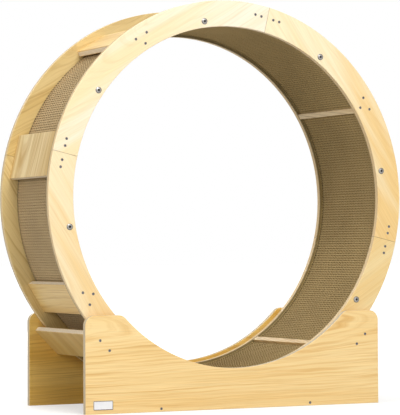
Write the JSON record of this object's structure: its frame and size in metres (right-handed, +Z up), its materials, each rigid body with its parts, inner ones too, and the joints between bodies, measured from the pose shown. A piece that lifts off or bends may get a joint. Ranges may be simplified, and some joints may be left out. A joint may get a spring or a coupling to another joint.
{
  "type": "cat exercise wheel",
  "caption": "Wooden running wheel for a cat, lined with curved scratch pads, that spins on grooved rollers in a low two-panel base.",
  "frame": {"origin": "on the floor under the wheel's axis, midway between the two base panels", "axes": "+X to the right along the base, +Y to the rear along the wheel's axis, +Z up"},
  "size_m": [1, 0.3732, 1.03],
  "materials": {
    "pine_board": "clear satin on pale pine board",
    "corrugated_board": "raw kraft corrugated board, edges out",
    "nickel_steel": "bright nickel plate",
    "zinc_steel": "zinc plate",
    "bearing_steel": "ground and polished",
    "nylon": "moulded natural nylon",
    "white_enamel": "bare white enamel"
  },
  "bodies": {
    "base": {"front_panel": "pine_board", "rear_panel": "pine_board", "left_stretcher": "pine_board", "right_stretcher": "pine_board", "base_board": "pine_board", "front_panel_screws": "zinc_steel", "rear_panel_screws": "zinc_steel", "badge_plate": "white_enamel", "front_left_bracket": "zinc_steel", "front_left_axle": "zinc_steel", "front_right_bracket": "zinc_steel", "front_right_axle": "zinc_steel", "rear_left_bracket": "zinc_steel", "rear_left_axle": "zinc_steel", "rear_right_bracket": "zinc_steel", "rear_right_axle": "zinc_steel", "axle_nuts": "zinc_steel", "bracket_screws": "zinc_steel"},
    "wheel": {"front_ring_segment_1": "pine_board", "rear_ring_segment_1": "pine_board", "seam_board_1": "pine_board", "tie_board_1": "pine_board", "divider_strip_1": "pine_board", "scratch_pad_1": "corrugated_board", "front_ring_segment_2": "pine_board", "rear_ring_segment_2": "pine_board", "seam_board_2": "pine_board", "tie_board_2": "pine_board", "divider_strip_2": "pine_board", "scratch_pad_2": "corrugated_board", "front_ring_segment_3": "pine_board", "rear_ring_segment_3": "pine_board", "seam_board_3": "pine_board", "tie_board_3": "pine_board", "divider_strip_3": "pine_board", "scratch_pad_3": "corrugated_board", "front_ring_segment_4": "pine_board", "rear_ring_segment_4": "pine_board", "seam_board_4": "pine_board", "tie_board_4": "pine_board", "divider_strip_4": "pine_board", "scratch_pad_4": "corrugated_board", "tie_rods": "zinc_steel", "front_ring_bolts": "nickel_steel", "front_seam_screws": "zinc_steel", "front_tie_screws": "zinc_steel", "rear_ring_bolts": "nickel_steel", "rear_seam_screws": "zinc_steel", "rear_tie_screws": "zinc_steel"},
    "front_left_roller": {"front_left_roller": "nylon", "front_left_bearings": "bearing_steel"},
    "front_right_roller": {"front_right_roller": "nylon", "front_right_bearings": "bearing_steel"},
    "rear_left_roller": {"rear_left_roller": "nylon", "rear_left_bearings": "bearing_steel"},
    "rear_right_roller": {"rear_right_roller": "nylon", "rear_right_bearings": "bearing_steel"}
  },
  "joints": [
    {"name": "wheel_spin", "type": "hinge", "parent": "base", "child": "wheel", "pos_m": [0, 0, 0.53], "axis": [0, 1, 0], "continuous": true},
    {"name": "front_left_roller_spin", "type": "hinge", "parent": "base", "child": "front_left_roller", "pos_m": [-0.22073, -0.1515, 0.05663], "axis": [0, 1, 0], "continuous": true},
    {"name": "front_right_roller_spin", "type": "hinge", "parent": "base", "child": "front_right_roller", "pos_m": [0.22073, -0.1515, 0.05663], "axis": [0, 1, 0], "continuous": true},
    {"name": "rear_left_roller_spin", "type": "hinge", "parent": "base", "child": "rear_left_roller", "pos_m": [-0.22073, 0.1515, 0.05663], "axis": [0, 1, 0], "continuous": true},
    {"name": "rear_right_roller_spin", "type": "hinge", "parent": "base", "child": "rear_right_roller", "pos_m": [0.22073, 0.1515, 0.05663], "axis": [0, 1, 0], "continuous": true}
  ],
  "couplings": [
    {"joint": "front_left_roller_spin", "follows": "wheel_spin", "ratio": -22.727},
    {"joint": "front_right_roller_spin", "follows": "wheel_spin", "ratio": -22.727},
    {"joint": "rear_left_roller_spin", "follows": "wheel_spin", "ratio": -22.727},
    {"joint": "rear_right_roller_spin", "follows": "wheel_spin", "ratio": -22.727}
  ]
}
